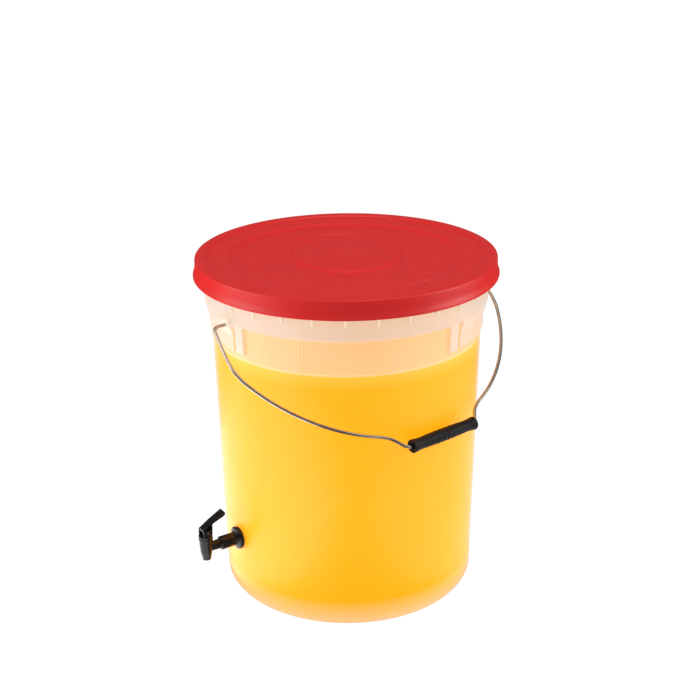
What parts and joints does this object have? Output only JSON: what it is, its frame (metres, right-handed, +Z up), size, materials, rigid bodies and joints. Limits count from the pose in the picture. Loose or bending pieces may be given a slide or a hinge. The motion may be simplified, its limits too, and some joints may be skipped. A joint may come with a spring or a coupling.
{
  "type": "fermenting bucket",
  "caption": "Tapered translucent tub with a press-fit ringed lid, a swinging wire bail with a loose grip, and a spring-closed lever tap low in the wall, for fermenting and serving drinks.",
  "frame": {"origin": "centre of the flat underside of the base", "axes": "+Z up along the tub's axis; X along the line of the bail's two pivots, with the tap towards -X; the resting bail hangs towards -Y"},
  "size_m": [0.3831, 0.3352, 0.384],
  "materials": {
    "natural_plastic": "natural translucent polyethylene, moulded",
    "red_plastic": "red polyethylene, moulded, satin",
    "seal_rubber": "soft white seal",
    "zinc_wire": "bright zinc-plated steel wire",
    "black_plastic": "black polypropylene, moulded",
    "washer_rubber": "black rubber",
    "spring_steel": "bright stainless steel"
  },
  "bodies": {
    "bucket": {"bucket_body": "natural_plastic", "tap_body": "black_plastic", "tap_outer_washer": "washer_rubber", "tap_inner_washer": "washer_rubber", "tap_back_nut": "black_plastic", "tap_bonnet": "black_plastic", "tap_pin": "spring_steel", "tap_spring": "spring_steel"},
    "lid": {"lid": "red_plastic", "lid_seal": "seal_rubber"},
    "bail": {"bail_wire": "zinc_wire"},
    "grip": {"bail_grip": "black_plastic"},
    "lever": {"tap_lever": "black_plastic"},
    "valve": {"tap_stem": "black_plastic", "tap_seat_cup": "seal_rubber"}
  },
  "joints": [
    {"name": "lid_lift", "type": "slide", "parent": "bucket", "child": "lid", "axis": [0, 0, 1], "range_m": [0, 0.025]},
    {"name": "bail_swing", "type": "hinge", "parent": "bucket", "child": "bail", "pos_m": [0.0026, 0, 0.337], "axis": [-1, 0, 0], "range_deg": [0, 254]},
    {"name": "grip_spin", "type": "hinge", "parent": "bail", "child": "grip", "pos_m": [0.0046, -0.15572, 0.2188], "axis": [1, 0, 0], "continuous": true},
    {"name": "lever_lift", "type": "hinge", "parent": "bucket", "child": "lever", "pos_m": [-0.18788, 0.01809, 0.0951], "axis": [-0.0958, -0.9954, 0], "range_deg": [0, 45], "stiffness_Nm_per_rad": 0.02, "springref_deg": -17.19},
    {"name": "valve_lift", "type": "slide", "parent": "bucket", "child": "valve", "axis": [0, 0, 1], "range_m": [0, 0.0013], "deforming": ["tap_spring"]}
  ],
  "couplings": [
    {"joint": "valve_lift", "follows": "lever_lift", "m_per_rad": 0.001655}
  ]
}
